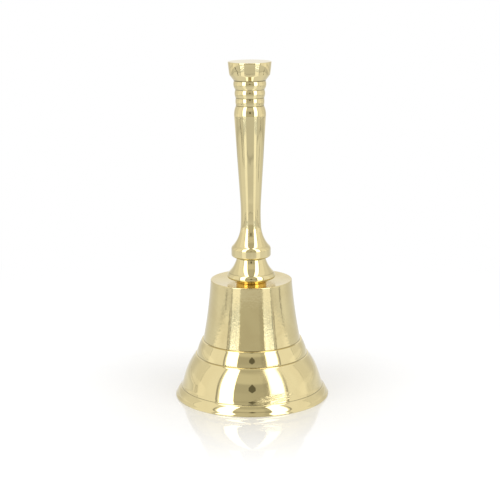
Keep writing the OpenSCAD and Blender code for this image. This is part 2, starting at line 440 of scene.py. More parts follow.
class Effects:
    """Surface effects that several finishes share, each made once as a node group."""

    def __init__(self) -> None:
        """Make the groups."""
        self.turning = self._turning()
        self.scratches = self._scratches()
        self.handling = self._handling()
        self.buffing = self._buffing()

    def _turning(self) -> bpy.types.NodeTree:
        """Fine lathe marks that run round the Z axis.

        Returns:
            A group that puts out the marks' height and a mask of the coarser ones.
        """
        least_radius, coarse_scale = 0.1 * MM, 0.23
        fine_share, coarse_share = 0.6, 0.4
        graph, given, out = new_group(
            "turning_marks",
            [Port("Position", "NodeSocketVector"), Port("Lines", value=3000.0),
             Port("Break", value=1.2)],
            [Port("Height"), Port("Coarse")],
        )
        x, y, z = graph.split(given["Position"])
        radius = graph.hypot(x, y)
        safe = graph.math("MAXIMUM", radius, least_radius)
        way = graph.chain("CombineXYZ",
                          graph.times(graph.over(x, safe), given["Break"]),
                          graph.times(graph.over(y, safe), given["Break"]),
                          graph.times(graph.minus(z, radius), given["Lines"]))
        fine = graph.noise(way, 1.0, detail=3.0, roughness=0.65)
        coarse = graph.noise(way, coarse_scale, detail=2.0, roughness=0.5)
        height = graph.plus(graph.times(fine, fine_share), graph.times(coarse, coarse_share))
        graph.feed(out["Height"], height)
        graph.feed(out["Coarse"], graph.remap(coarse, 0.35, 0.65))
        return graph.tree

    def _scratches(self) -> bpy.types.NodeTree:
        """Thin stray scratches from handling, in two directions.

        Returns:
            A group that puts out a mask that is 1 on a scratch.
        """
        stretch, half_width = (90.0, 90.0, 2600.0), 0.006
        graph, given, out = new_group(
            "stray_scratches",
            [Port("Position", "NodeSocketVector"), Port("Amount", value=0.5)],
            [Port("Mask")],
        )
        lines = []
        for turn, place in (((20.0, 35.0, 10.0), 0.3), ((70.0, -25.0, 50.0), 1.7)):
            way = graph.mapping(given["Position"], stretch, turn, (place, 0.0, 0.0))
            wave = graph.noise(way, 1.0, detail=1.0, distortion=0.2)
            near = graph.math("ABSOLUTE", graph.minus(wave, 0.5))
            lines.append(graph.remap(near, half_width, 0.0))
        patches = graph.remap(graph.noise(given["Position"], 140.0), 0.45, 0.7)
        both = graph.math("MAXIMUM", *lines)
        graph.feed(out["Mask"], graph.times(graph.times(both, patches), given["Amount"]))
        return graph.tree

    def _handling(self) -> bpy.types.NodeTree:
        """Faint cloudy smears and small specks of tarnish.

        Returns:
            A group that puts out a smear mask and a speck mask.
        """
        graph, given, out = new_group(
            "handling",
            [Port("Position", "NodeSocketVector")],
            [Port("Smear"), Port("Specks")],
        )
        cloud = graph.noise(given["Position"], 60.0, detail=4.0, roughness=0.6, distortion=0.6)
        graph.feed(out["Smear"], graph.remap(cloud, 0.38, 0.68, smooth=True))
        rare = graph.remap(graph.noise(given["Position"], 95.0), 0.6, 0.7)
        dot = graph.remap(graph.cells(given["Position"], 320.0, "F1"), 0.16, 0.05)
        graph.feed(out["Specks"], graph.times(dot, rare))
        return graph.tree

    def _buffing(self) -> bpy.types.NodeTree:
        """Soft slanted streaks that a buffing wheel leaves, gathered in patches.

        Returns:
            A group that puts out the streaks' height and the patches' mask.
        """
        graph, given, out = new_group(
            "buffing_streaks",
            [Port("Position", "NodeSocketVector"), Port("Amount", value=0.5)],
            [Port("Height"), Port("Mask")],
        )
        way = graph.mapping(given["Position"], (60.0, 60.0, 1500.0), (14.0, 9.0, 0.0))
        streak = graph.noise(way, 1.0, detail=3.0, roughness=0.6, distortion=0.3)
        patch = graph.remap(graph.noise(given["Position"], 42.0, detail=2.0), 0.5, 0.66,
                            smooth=True)
        share = graph.times(patch, given["Amount"])
        graph.feed(out["Height"], graph.times(streak, share))
        graph.feed(out["Mask"], share)
        return graph.tree


# ---------------------------------------------------------------- finishes


@dataclass(frozen=True)
class Rub:
    """A patch of long wavy marks, where the bell was rubbed against something.

    Lengths are in metres and angles in degrees to the right of the bell's front. The slant is
    how far the patch climbs over its spread, full is the share of its reach at full depth, and
    cut is the range of the waves that becomes a mark.
    """

    angle: float = 19.0
    spread: float = 19.0
    height_mid: float = 7.7 * MM
    height_half: float = 2.6 * MM
    depth: float = 95 * MICRON
    roughness: float = 0.20
    slant: float = 0.9 * MM
    full: float = 0.55
    waves_along: float = 1.5
    mark_height: float = 0.6 * MM
    cut: tuple[float, float] = (0.46, 0.62)

    def marks(self, graph: Graph, place: bpy.types.NodeSocket) -> bpy.types.NodeSocket:
        """Mask of the marks, which also serves as their height.

        Args:
            graph: The finish's graph.
            place: Object coordinates.

        Returns:
            The mask.
        """
        x, y, z = graph.split(place)
        side = graph.bearing(x, y)
        off = graph.over(graph.minus(side, self.angle), self.spread)
        drop = graph.minus(graph.minus(z, self.height_mid), graph.times(off, self.slant))
        off_z = graph.over(drop, self.height_half)
        inside = graph.remap(graph.hypot(off, off_z), 1.0, self.full, smooth=True)
        way = graph.chain("CombineXYZ", graph.times(off, self.waves_along),
                          graph.over(drop, self.mark_height))
        waves = graph.noise(way, 1.0, detail=2.5, roughness=0.55, distortion=0.9)
        return graph.times(graph.remap(waves, *self.cut), inside)


@dataclass(frozen=True)
class Brass:
    """Brass in one state of polish.

    Depths are real heights in metres. Where the mesh's crease attribute is high, painted shade
    darkens the colour of the grooves and joints, and the roughness rises. The parts are factors on
    the roughness where the brass is clean and smeared, and a dulling is what a mask adds to it.
    """

    name: str
    colour: Colour = (0.873, 0.819, 0.629)
    tarnish: Colour = (0.66, 0.53, 0.29)
    # painted shade: near-black colour mixed into grooves and joints by the crease attribute
    crease_shade: Colour = (0.17, 0.13, 0.05)
    roughness: float = 0.032
    turning_depth: float = 0.1 * MICRON
    lines: float = 3000.0
    breaks: float = 1.2
    tarnish_share: float = 0.07
    scratch_share: float = 0.25
    buff_share: float = 0.0
    buff_depth: float = 0.5 * MICRON
    chatter_depth: float = 0.0
    chatter_lines: float = 2700.0
    chatter_breaks: float = 80.0
    rub: Rub | None = None
    speck_share: float = 0.4
    crease_shade_share: float = 0.9
    clean_part: float = 0.8
    smeared_part: float = 1.5
    scratch_dulling: float = 0.12
    buff_dulling: float = 0.1
    crease_dulling: float = 0.3
    scratch_depth: float = 2 * MICRON
    scratch_strength: float = 0.3

    def material(self, effects: Effects) -> bpy.types.Material:
        """Build the finish.

        Args:
            effects: The shared effect groups.

        Returns:
            The material.
        """
        made, graph = blank(self.name)
        place, crease = graph.place(), graph.crease()
        marks = graph.group(effects.turning, Position=place, Lines=self.lines, Break=self.breaks)
        stray = graph.group(effects.scratches, Position=place, Amount=self.scratch_share)
        buff = graph.group(effects.buffing, Position=place, Amount=self.buff_share)
        wear = graph.group(effects.handling, Position=place)

        smear, specks = wear.outputs["Smear"], wear.outputs["Specks"]
        tarnish, crease_shade = linear(self.tarnish), linear(self.crease_shade)
        colour = graph.mix(graph.times(smear, self.tarnish_share), linear(self.colour), tarnish)
        colour = graph.mix(graph.times(specks, self.speck_share), colour, tarnish)
        # painted shade: darkens the colour in grooves and joints, where shade falls, by the crease
        # attribute
        colour = graph.mix(graph.times(crease, self.crease_shade_share, clamp=True), colour, crease_shade)

        rough = graph.remap(smear, 0.0, 1.0, self.roughness * self.clean_part,
                            self.roughness * self.smeared_part)
        for mask, dulling in ((stray.outputs["Mask"], self.scratch_dulling),
                              (buff.outputs["Mask"], self.buff_dulling),
                              (crease, self.crease_dulling)):
            rough = graph.plus(rough, graph.times(mask, dulling))

        normal = None
        if self.chatter_depth:
            ripples = graph.group(effects.turning, Position=place, Lines=self.chatter_lines,
                                  Break=self.chatter_breaks)
            normal = graph.bump(ripples.outputs["Coarse"], 1.0, self.chatter_depth)
        if self.rub is not None:
            marked = self.rub.marks(graph, place)
            rough = graph.plus(rough, graph.times(marked, self.rub.roughness))
            normal = graph.bump(marked, 1.0, self.rub.depth, normal)
        normal = graph.bump(buff.outputs["Height"], 1.0, self.buff_depth, normal)
        normal = graph.bump(marks.outputs["Height"], 1.0, self.turning_depth, normal)
        normal = graph.bump(stray.outputs["Mask"], self.scratch_strength, self.scratch_depth,
                            normal)
        graph.principled(Metallic=1.0, Base_Color=colour, Roughness=rough, Normal=normal)
        return made


@dataclass(frozen=True)
class Steel:
    """Zinc-plated steel, darker by the crease attribute: oily dirt in its seams, and painted shade
    in its bores and holes.
    """

    name: str
    colour: Colour = (0.72, 0.73, 0.74)
    tint: Colour = (0.64, 0.62, 0.55)
    # oily dirt in seams and specks, and painted shade in bores and holes, by the crease attribute
    oil_and_shade: Colour = (0.16, 0.14, 0.11)
    roughness: float = 0.24
    grain_depth: float = 0.4 * MICRON
    scratch_share: float = 0.6
    scratch_dulling: float = 0.15
    speck_share: float = 0.6
    oil_and_shade_share: float = 0.75
    smooth_part: float = 0.75
    rough_part: float = 1.3

    def material(self, effects: Effects) -> bpy.types.Material:
        """Build the finish.

        Args:
            effects: The shared effect groups.

        Returns:
            The material.
        """
        made, graph = blank(self.name)
        place, crease = graph.place(), graph.crease()
        wear = graph.group(effects.handling, Position=place)
        stray = graph.group(effects.scratches, Position=place, Amount=self.scratch_share)
        spangle = graph.noise(place, 900.0, detail=3.0, roughness=0.7)
        oil_and_shade = linear(self.oil_and_shade)
        colour = graph.mix(wear.outputs["Smear"], linear(self.colour), linear(self.tint))
        colour = graph.mix(graph.times(wear.outputs["Specks"], self.speck_share), colour, oil_and_shade)
        # painted shade in bores and holes, and oily dirt in seams, by the crease attribute
        colour = graph.mix(graph.times(crease, self.oil_and_shade_share), colour, oil_and_shade)
        rough = graph.remap(spangle, 0.3, 0.7, self.roughness * self.smooth_part,
                            self.roughness * self.rough_part)
        rough = graph.plus(rough, graph.times(stray.outputs["Mask"], self.scratch_dulling))
        normal = graph.bump(spangle, 1.0, self.grain_depth)
        graph.principled(Metallic=1.0, Base_Color=colour, Roughness=rough, Normal=normal)
        return made


@dataclass(frozen=True)
class Leather:
    """Vegetable-tanned washer leather, darker where its edge was cut."""

    name: str
    colour: Colour = (0.42, 0.26, 0.15)
    dark: Colour = (0.24, 0.13, 0.07)
    fibre: Colour = (0.50, 0.36, 0.24)
    grain_depth: float = 0.05 * MM

    def material(self) -> bpy.types.Material:
        """Build the finish and return the material."""
        made, graph = blank(self.name)
        place, edge = graph.place(), graph.crease()
        grain = graph.remap(graph.cells(place, 1800.0, "DISTANCE_TO_EDGE"), 0.0, 0.25)
        cloud = graph.noise(place, 260.0, detail=4.0)
        hairs = graph.noise(graph.mapping(place, (1.0, 1.0, 6.0)), 900.0, detail=4.0)
        colour = graph.mix(graph.remap(cloud, 0.35, 0.7), linear(self.colour), linear(self.dark))
        cut = graph.mix(graph.remap(hairs, 0.4, 0.6), linear(self.dark), linear(self.fibre))
        colour = graph.mix(edge, colour, cut)
        height = graph.plus(grain, graph.times(hairs, edge))
        graph.principled(Base_Color=colour, Roughness=graph.remap(cloud, 0.3, 0.7, 0.55, 0.8),
                         Normal=graph.bump(height, 0.8, self.grain_depth))
        return made


class Finishes:
    """Every finish of the bell, each built once."""

    def __init__(self) -> None:
        """Build the effects and the finishes that use them."""
        effects = Effects()
        self.mirror = Brass("mirror_brass", buff_share=0.5).material(effects)
        self.flare = Brass("flare_brass", buff_share=1.0, buff_depth=0.9 * MICRON,
                           turning_depth=0.16 * MICRON, rub=Rub()).material(effects)
        self.crown = Brass("crown_brass", roughness=0.11, turning_depth=0.3 * MICRON,
                           lines=2200.0, tarnish_share=0.16).material(effects)
        self.waist = Brass("waist_brass", roughness=0.075, turning_depth=0.3 * MICRON,
                           chatter_depth=8 * MICRON, tarnish_share=0.12).material(effects)
        self.inside = Brass("inside_brass", colour=(0.80, 0.70, 0.46), roughness=0.30,
                            turning_depth=5 * MICRON, lines=1300.0, tarnish_share=0.6,
                            chatter_depth=12 * MICRON, chatter_lines=420.0,
                            chatter_breaks=5.0).material(effects)
        self.handle = Brass("handle_brass", turning_depth=0.15 * MICRON, buff_share=0.25,
                            scratch_share=0.4).material(effects)
        # the collar's deeper orange colour is painted light: it stands in for light bounced
        # between the handle's foot and the crown
        self.collar = Brass("collar_brass", colour=(0.90, 0.74, 0.36), roughness=0.12,
                            turning_depth=1 * MICRON, tarnish_share=0.3).material(effects)
        self.ball = Brass("ball_brass", colour=(0.80, 0.70, 0.46), roughness=0.2,
                          turning_depth=4 * MICRON, lines=1500.0, tarnish_share=0.5,
                          scratch_share=0.8).material(effects)
        self.zinc = Steel("zinc_steel").material(effects)
        self.wire = Steel("drawn_wire", colour=(0.66, 0.66, 0.66),
                          roughness=0.3).material(effects)
        self.leather = Leather("washer_leather").material()


# ---------------------------------------------------------------- turned outlines


@dataclass
class Outline:
    """A turned piece's outline, as points of radius and height in millimetres.

    Each point carries how far it lies in a crease, from 0 to 1, and each span between two
    points carries the number of its finish. Straight runs are divided more widely away from
    their ends, by the growth.
    """

    step: float = 0.5
    growth: float = 1.6
    points: list[tuple[float, float]] = field(default_factory=list)
    creases: list[float] = field(default_factory=list)
    finishes: list[int] = field(default_factory=list)
    finish: int = 0

    def start(self, radius: float, height: float) -> "Outline":
        """Place the first point."""
        self._put(radius, height, 0.0)
        return self

    def use(self, finish: int) -> "Outline":
        """Choose the finish of the spans that follow."""
        self.finish = finish
        return self

    def _put(self, radius: float, height: float, crease: float) -> None:
        """Add one point."""
        self.points.append((radius, height))
        self.creases.append(crease)
        self.finishes.append(self.finish)

    def line(self, radius: float, height: float, crease: float = 0.0) -> "Outline":
        """Run straight to a point.

        Args:
            radius: The point's radius.
            height: The point's height.
            crease: How far the point lies in a crease.

        Returns:
            The outline.
        """
        start, end = Vector(self.points[-1]), Vector((radius, height))
        length = (end - start).length
        half, stride, reach = [], self.step, self.step
        while reach < length / 2:
            half.append(reach / length)
            stride *= self.growth
            reach += stride
        for share in [*half, *(1 - share for share in reversed(half))]:
            self._put(*start.lerp(end, share), 0.0)
        self._put(radius, height, crease)
        return self

    def arc(self, radius: float, height: float, bow: float, least: int = 4) -> "Outline":
        """Run along a circular arc to a point.

        Args:
            radius: The point's radius.
            height: The point's height.
            bow: Height of the arc over its chord. A positive one bends it to the right of its
                way, which is outward where the outline climbs.
            least: Fewest spans to use.

        Returns:
            The outline.
        """
        start, end = Vector(self.points[-1]), Vector((radius, height))
        way = end - start
        chord = way.length
        size = (chord * chord / 4 + bow * bow) / (2 * abs(bow))
        side = math.copysign(1.0, bow)
        right = Vector((way.y, -way.x)) / chord * side
        centre = (start + end) / 2 - right * (size - abs(bow))
        begin = math.atan2(start.y - centre.y, start.x - centre.x)
        sweep = 2 * side * math.acos((size - abs(bow)) / size)
        parts = max(least, math.ceil(abs(sweep) * size / self.step))
        for part in range(1, parts + 1):
            angle = begin + sweep * part / parts
            self._put(centre.x + size * math.cos(angle), centre.y + size * math.sin(angle), 0.0)
        return self

    def corner(self, radius: float, height: float, size: float, outward: bool = True) -> "Outline":
        """Round a corner off with a small arc.

        Args:
            radius: Radius at the arc's end.
            height: Height at the arc's end.
            size: Radius of the arc.
            outward: Whether the arc bends to the right of its way.

        Returns:
            The outline.
        """
        return self.arc(radius, height, QUARTER_BOW * size * (1 if outward else -1), least=4)


@dataclass(frozen=True)
class Spot:
    """A point of a turned piece: its number on the outline, angle, radius and height."""

    number: int
    angle: float
    radius: float
    height: float


Shape = Callable[[Spot], tuple[float, float]]


def spin(mesh: bmesh.types.BMesh, parts: list, angle: float, steps: int, whole: bool) -> None:
    """Spin vertices and edges round the Z axis, and join the ends of a whole turn."""
    bmesh.ops.spin(mesh, geom=parts, cent=(0, 0, 0), axis=(0, 0, 1), angle=angle, steps=steps,
                   use_merge=whole)


def lathe(outline: Outline, segments: int, shape: Shape | None = None) -> bmesh.types.BMesh:
    """Spin an outline round the Z axis into a closed mesh.

    Args:
        outline: The outline, in millimetres.
        segments: Number of steps round the axis.
        shape: Gives a turned point its final radius and height, where the piece isn't quite
            round.

    Returns:
        The mesh, in metres.
    """
    mesh = bmesh.new()
    span = mesh.verts.layers.int.new("span")
    crease = mesh.verts.layers.float.new("crease")
    chain = []
    for number, (radius, height) in enumerate(outline.points):
        vertex = mesh.verts.new((radius * MM, 0.0, height * MM))
        vertex[span] = number
        vertex[crease] = outline.creases[number]
        chain.append(vertex)
    edges = [mesh.edges.new(pair) for pair in zip(chain, chain[1:])]
    spin(mesh, chain + edges, TURN, segments, True)
    for face in mesh.faces:
        first = min(vertex[span] for vertex in face.verts)
        face.material_index = outline.finishes[first + 1]
    if shape is not None:
        for vertex in mesh.verts:
            x, y, z = vertex.co / MM
            spot = Spot(vertex[span], math.atan2(y, x), math.hypot(x, y), z)
            radius, height = shape(spot)
            across, along = radius * math.cos(spot.angle), radius * math.sin(spot.angle)
            vertex.co = Vector((across, along, height)) * MM
    bmesh.ops.remove_doubles(mesh, verts=mesh.verts, dist=0.5 * MICRON)
    bmesh.ops.recalc_face_normals(mesh, faces=mesh.faces)
    return mesh


@dataclass(frozen=True)
class Thread:
    """A cut screw thread round the Z axis, in millimetres."""

    radius: float
    pitch: float
    depth: float
    low: float
    high: float

    def shape(self, spot: Spot) -> tuple[float, float]:
        """Sink a point of the shank into the thread's groove.

        Args:
            spot: The turned point.

        Returns:
            Its radius and height on the thread.
        """
        radius, height = spot.radius, spot.height
        if radius < self.radius - self.depth or not self.low < height < self.high:
            return radius, height
        turn = (height / self.pitch - spot.angle / TURN) % 1.0
        wave = abs(2 * turn - 1)
        fade = min(1.0, (height - self.low) / self.pitch, (self.high - height) / self.pitch)
        return min(radius, self.radius - self.depth * wave * fade), height


def wire_loop(loop_r: float, wire_r: float, place: Matrix, seam: float) -> bmesh.types.BMesh:
    """Bend a round wire into a closed ring with a fine seam where its ends meet.

    Args:
        loop_r: Radius of the wire's centre line, in millimetres.
        wire_r: Radius of the wire.
        place: Turn and height of the ring, from one that lies flat round the Z axis.
        seam: Angle of the seam, in degrees.

    Returns:
        The mesh, in metres.
    """
    steps, seam_depth = 96, 0.12
    mesh = bmesh.new()
    crease = mesh.verts.layers.float.new("crease")
    section = Matrix.Translation((loop_r * MM, 0, 0)) @ Matrix.Rotation(TURN / 4, 4, "X")
    ring = bmesh.ops.create_circle(mesh, segments=24, radius=wire_r * MM, matrix=section)["verts"]
    spin(mesh, ring + mesh.edges[:], TURN, steps, True)
    for vertex in mesh.verts:
        centre = Vector((vertex.co.x, vertex.co.y, 0)).normalized() * loop_r * MM
        way = math.degrees(math.atan2(vertex.co.y, vertex.co.x))
        if abs((way - seam + 180) % 360 - 180) < 180 / steps:
            vertex.co = centre + (vertex.co - centre) * (1 - seam_depth / wire_r)
            vertex[crease] = 1.0
    bmesh.ops.recalc_face_normals(mesh, faces=mesh.faces)
    bmesh.ops.transform(mesh, matrix=place, verts=mesh.verts)
    return mesh


def placed(name: str, data: bpy.types.ID) -> bpy.types.Object:
    """Make an object of some data and put it into the scene."""
    made = bpy.data.objects.new(name, data)
    bpy.context.scene.collection.objects.link(made)
    return made


def finished(name: str, meshes: list[bmesh.types.BMesh], body: Body,
             materials: list[bpy.types.Material], sharp: float | None = None) -> bpy.types.Object:
    """Turn meshes into one piece that rides on a body.

    Args:
        name: The piece's name.
        meshes: Its meshes, which are freed.
        body: The body that carries it.
        materials: Its materials, in the order of its faces' indices.
        sharp: Angle in degrees from which an edge is shaded sharp, if any is.

    Returns:
        The piece.
    """
    data = bpy.data.meshes.new(name)
    whole = bmesh.new()
    for mesh in meshes:
        mesh.to_mesh(data)
        mesh.free()
        whole.from_mesh(data)
    for face in whole.faces:
        face.smooth = True
    whole.to_mesh(data)
    whole.free()
    if sharp is not None:
        data.set_sharp_from_angle(angle=math.radians(sharp))
    for material in materials:
        data.materials.append(material)
    piece = placed(name, data)
    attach(piece, body.value)
    LOG.info("%s: %d faces on %s", name, len(data.polygons), body.value)
    return piece


def extent(node: str) -> tuple[Vector, Vector]:
    """Low and high corner of a CAD node, in millimetres."""
    low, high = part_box(node)
    return Vector(low) / MM, Vector(high) / MM


# ---------------------------------------------------------------- the bell


class Zone(Enum):
    """Parts of the cup that are finished differently, in the order of its materials."""

    CROWN = 0
    WAIST = 1
    BAND = 2
    FLARE = 3
    INSIDE = 4


@dataclass
class BellCup:
    """The stepped brass bell, with its crown, waist, band, flare and lip.

    Sizes are in millimetres and follow the CAD solid.
    """

    finishes: Finishes
    crown_r: float = 20.9
    crown_t: float = 3.0
    dish: float = 1.2
    seat_r: float = 8.45
    wall: float = 2.3
    lip_wall: float = 3.1
    lip_h: float = 5.0
    lip_step: float = 0.35
    flare_r: float = 36.75
    flare_top_z: float = 21.9
    band_r: float = 28.6
    band_top_z: float = 29.5
    waist_r: float = 25.05
    band_ledge: float = 1.0
    flare_ledge: float = 0.75
    bolt_hole_r: float = 2.7
    fillet: float = 2.8
    edge: float = 0.3
    lip_edge: float = 0.5
    ledge_edge: float = 0.2
    groove: float = 0.16
    groove_rise: float = 0.5
    waist_bow: float = 0.5
    band_bow: float = 0.25
    flare_bow: float = 0.57
    flare_knee_in: float = 1.8
    flare_knee_rise: float = 5.9
    flare_toe_in: float = 0.63
    flare_toe_rise: float = 1.9
    flare_toe_bow: float = 0.04
    lip_knee_in: float = 0.7
    lip_knee_h: float = 1.6
    lip_slope_bow: float = 0.24
    foot_bow: float = 0.05
    crown_inset: float = 0.3
    wander: float = 0.10
    wander_reach: float = 1.2
    segments: int = 288

    def step_down(self, outline: Outline, inner_r: float, outer_r: float, height: float) -> None:
        """Cut a fine groove at a wall's foot and round the ledge that stands out below it.

        Args:
            outline: The outline, which comes down the wall.
            inner_r: Radius of the wall above the ledge.
            outer_r: Radius of the ledge's edge.
            height: Height of the ledge.
        """
        clear, above, middle, below = 0.01, 0.45, 0.26, 0.12
        outline.line(inner_r + clear, height + above)
        outline.line(inner_r - self.groove, height + middle, crease=1.0)
        outline.line(inner_r + below, height + below)
        outline.line(outer_r - self.ledge_edge, height)
        outline.corner(outer_r, height - self.ledge_edge, self.ledge_edge, outward=False)

    def outline(self) -> Outline:
        """Outline from the bolt hole over the crown and down the outside, then up the inside."""
        low, high = extent("bell_body")
        mouth_r, top = high.x, high.z
        under, seat = top - self.crown_t, top - self.dish
        knee_r, knee_z = self.flare_r - self.flare_knee_in, self.lip_h + self.flare_knee_rise
        cut = Outline(step=0.55)
        cut.start(self.bolt_hole_r, seat).line(self.seat_r, seat)
        cut.line(self.crown_r - self.edge, top)
        cut.corner(self.crown_r, top - self.edge, self.edge, outward=False)
        cut.use(Zone.WAIST.value)
        cut.arc(self.waist_r, self.band_top_z + self.groove_rise, self.waist_bow)
        cut.use(Zone.BAND.value)
        self.step_down(cut, self.waist_r, self.waist_r + self.band_ledge, self.band_top_z)
        cut.arc(self.band_r, self.flare_top_z + self.groove_rise, -self.band_bow)
        cut.use(Zone.FLARE.value)
        self.step_down(cut, self.band_r, self.band_r + self.flare_ledge, self.flare_top_z)
        cut.arc(knee_r, knee_z, -self.flare_bow)
        cut.line(self.flare_r - self.flare_toe_in, self.lip_h + self.flare_toe_rise)
        cut.arc(self.flare_r, self.lip_h + self.groove_rise, self.flare_toe_bow)
        cut.use(Zone.BAND.value)
        self.step_down(cut, self.flare_r, self.flare_r + self.lip_step, self.lip_h)
        cut.arc(mouth_r - self.lip_knee_in, self.lip_knee_h, -self.lip_slope_bow)
        cut.arc(mouth_r, self.lip_edge, -self.foot_bow)
        cut.corner(mouth_r - self.lip_edge, low.z, self.lip_edge, outward=False)
        cut.use(Zone.INSIDE.value)
        cut.line(mouth_r - self.lip_wall + self.lip_edge, low.z)
        cut.corner(mouth_r - self.lip_wall, self.lip_edge, self.lip_edge, outward=False)
        cut.line(self.flare_r - self.wall, self.lip_h)
        cut.arc(knee_r - self.wall, knee_z, -self.foot_bow)
        cut.arc(self.band_r + self.flare_ledge - self.wall, self.flare_top_z, self.flare_bow)
        cut.line(self.waist_r - self.wall, self.band_top_z)
        inner_r = self.crown_r - self.wall + self.crown_inset
        cut.arc(inner_r, under - self.fillet, -self.waist_bow)
        cut.corner(inner_r - self.fillet, under, self.fillet)
        cut.line(self.bolt_hole_r, under).line(self.bolt_hole_r, seat)
        return cut

    def hand_finish(self, spot: Spot) -> tuple[float, float]:
        """Let the lip's ledge wander a little, as a hand-held tool left it.

        Args:
            spot: The turned point.

        Returns:
            Its radius and height on the finished cup.
        """
        share = max(0.0, 1 - abs(spot.height - self.lip_h) / self.wander_reach)
        if spot.radius < self.flare_r - 1.0:
            share = 0.0
        wave = math.sin(5 * spot.angle + 0.6) + 0.6 * math.sin(13 * spot.angle)
        wave += 0.4 * math.sin(29 * spot.angle)
        return spot.radius, spot.height + self.wander * share * wave / 2

    def build(self) -> bpy.types.Object:
        """Lathe the bell, dress it and return the piece."""
        given = self.finishes
        materials = [given.crown, given.waist, given.mirror, given.flare, given.inside]
        mesh = lathe(self.outline(), self.segments, self.hand_finish)
        piece = finished("bell_cup", [mesh], Body.BELL, materials)
        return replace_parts(piece, "bell_body")


@dataclass
class Handle:
    """The turned brass handle: foot, knop, grip, beads and cap.

    Sizes are in millimetres. Each bead gives its foot's radius, its top and its bow.
    """

    finishes: Finishes
    foot_r: float = 12.3
    knop_r: float = 10.1
    cap_r: float = 10.95
    bolt_r: float = 2.5
    grip_r: float = 5.25
    grip_low: float = 88.8
    grip_high: float = 102.0
    beads: tuple[Triple, ...] = ((7.15, 154.7, 0.2), (7.35, 158.9, 0.42), (8.0, 163.3, 0.56))
    bead_edge: tuple[float, float] = (0.03, 0.12)
    cap_edge: float = 0.25
    bore_top: float = 84.5
    drill_tip: float = 86.0
    segments: int = 192

    def outline(self) -> Outline:
        """Outline from the foot's bolt hole up the outside to the top of the cap."""
        low, high = extent("handle")
        foot, top = low.z, high.z
        cut = Outline(step=0.4)
        cut.start(self.bolt_r, foot).line(self.foot_r - 0.5, foot)
        cut.arc(self.foot_r, foot + 0.7, 0.15)
        cut.arc(11.75, foot + 2.6, 0.12)
        cut.line(11.55, foot + 2.8, crease=0.35)
        cut.arc(7.4, 72.4, -0.6)
        cut.line(7.35, 72.8, crease=0.9)
        cut.line(9.0, 73.3)
        cut.corner(self.knop_r, 74.4, 1.1)
        cut.line(self.knop_r, 77.6)
        cut.arc(9.0, 79.3, 0.2)
        cut.arc(self.grip_r, self.grip_low, -0.8)
        cut.arc(self.grip_r, self.grip_high, -0.2)
        cut.line(8.0, 145.0)
        cut.arc(7.13, 150.68, 0.4)
        cut.line(7.05, 150.8, crease=1.0)
        out, under = self.bead_edge
        for radius, height, bow in self.beads:
            cut.arc(radius + out, height - under, bow)
            cut.line(radius, height, crease=1.0)
        cut.line(8.2, 163.6, crease=0.6)
        cut.line(10.25, 166.3)
        cut.arc(self.cap_r, top - self.cap_edge, 0.07)
        cut.corner(self.cap_r - self.cap_edge, top, self.cap_edge)
        cut.line(0.0, top).line(0.0, self.drill_tip)
        cut.line(self.bolt_r, self.bore_top).line(self.bolt_r, foot)
        return cut

    def build(self) -> bpy.types.Object:
        """Lathe the handle, dress it and return the piece."""
        mesh = lathe(self.outline(), self.segments)
        piece = finished("turned_handle", [mesh], Body.BELL, [self.finishes.handle])
        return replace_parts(piece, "handle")


# ---------------------------------------------------------------- fixings and clapper


def ring_outline(low: Vector, high: Vector, hole: float, rim: float, edge: float,
                 crease: float = 0.0) -> Outline:
    """Outline of a flat ring up the rim, over the top and down the hole.

    Args:
        low: Low corner of the ring's box.
        high: High corner of the box.
        hole: Radius of the hole.
        rim: Radius of the rim.
        edge: Radius of the softened edges.
        crease: How far the rim and the hole lie in a crease.

    Returns:
        The outline, whose last point is its first.
    """
    cut = Outline(step=0.3)
    cut.start(hole + edge, low.z).line(rim - edge, low.z)
    cut.corner(rim, low.z + edge, edge).line(rim, high.z - edge, crease=crease)
    cut.corner(rim - edge, high.z, edge).line(hole + edge, high.z)
    cut.corner(hole, high.z - edge, edge).line(hole, low.z + edge, crease=crease)
    return cut.corner(hole + edge, low.z, edge)


@dataclass
class Washer:
    """A flat ring with softened edges. Sizes are in millimetres."""

    node: str
    hole_r: float
    edge: float
    slot: Slot
    finish: bpy.types.Material
    cut_edge: float = 0.0
    sway: float = 0.0
    segments: int = 96

    def hand_cut(self, spot: Spot) -> tuple[float, float]:
        """Make the ring a little out of round, as shears or a punch leave it.

        Args:
            spot: The turned point.

        Returns:
            Its radius and height on the cut ring.
        """
        wave = 0.5 * math.sin(3 * spot.angle + 0.4) + 0.3 * math.sin(7 * spot.angle) - 0.8
        return spot.radius + self.sway * wave, spot.height

    def build(self) -> bpy.types.Object:
        """Lathe the ring, dress it and return the piece."""
        low, high = extent(self.node)
        outline = ring_outline(low, high, self.hole_r, high.x, self.edge, self.cut_edge)
        mesh = lathe(outline, self.segments, self.hand_cut if self.sway else None)
        piece = finished(f"{self.node}_ring", [mesh], Body.BELL, [self.finish])
        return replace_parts(piece, self.node)


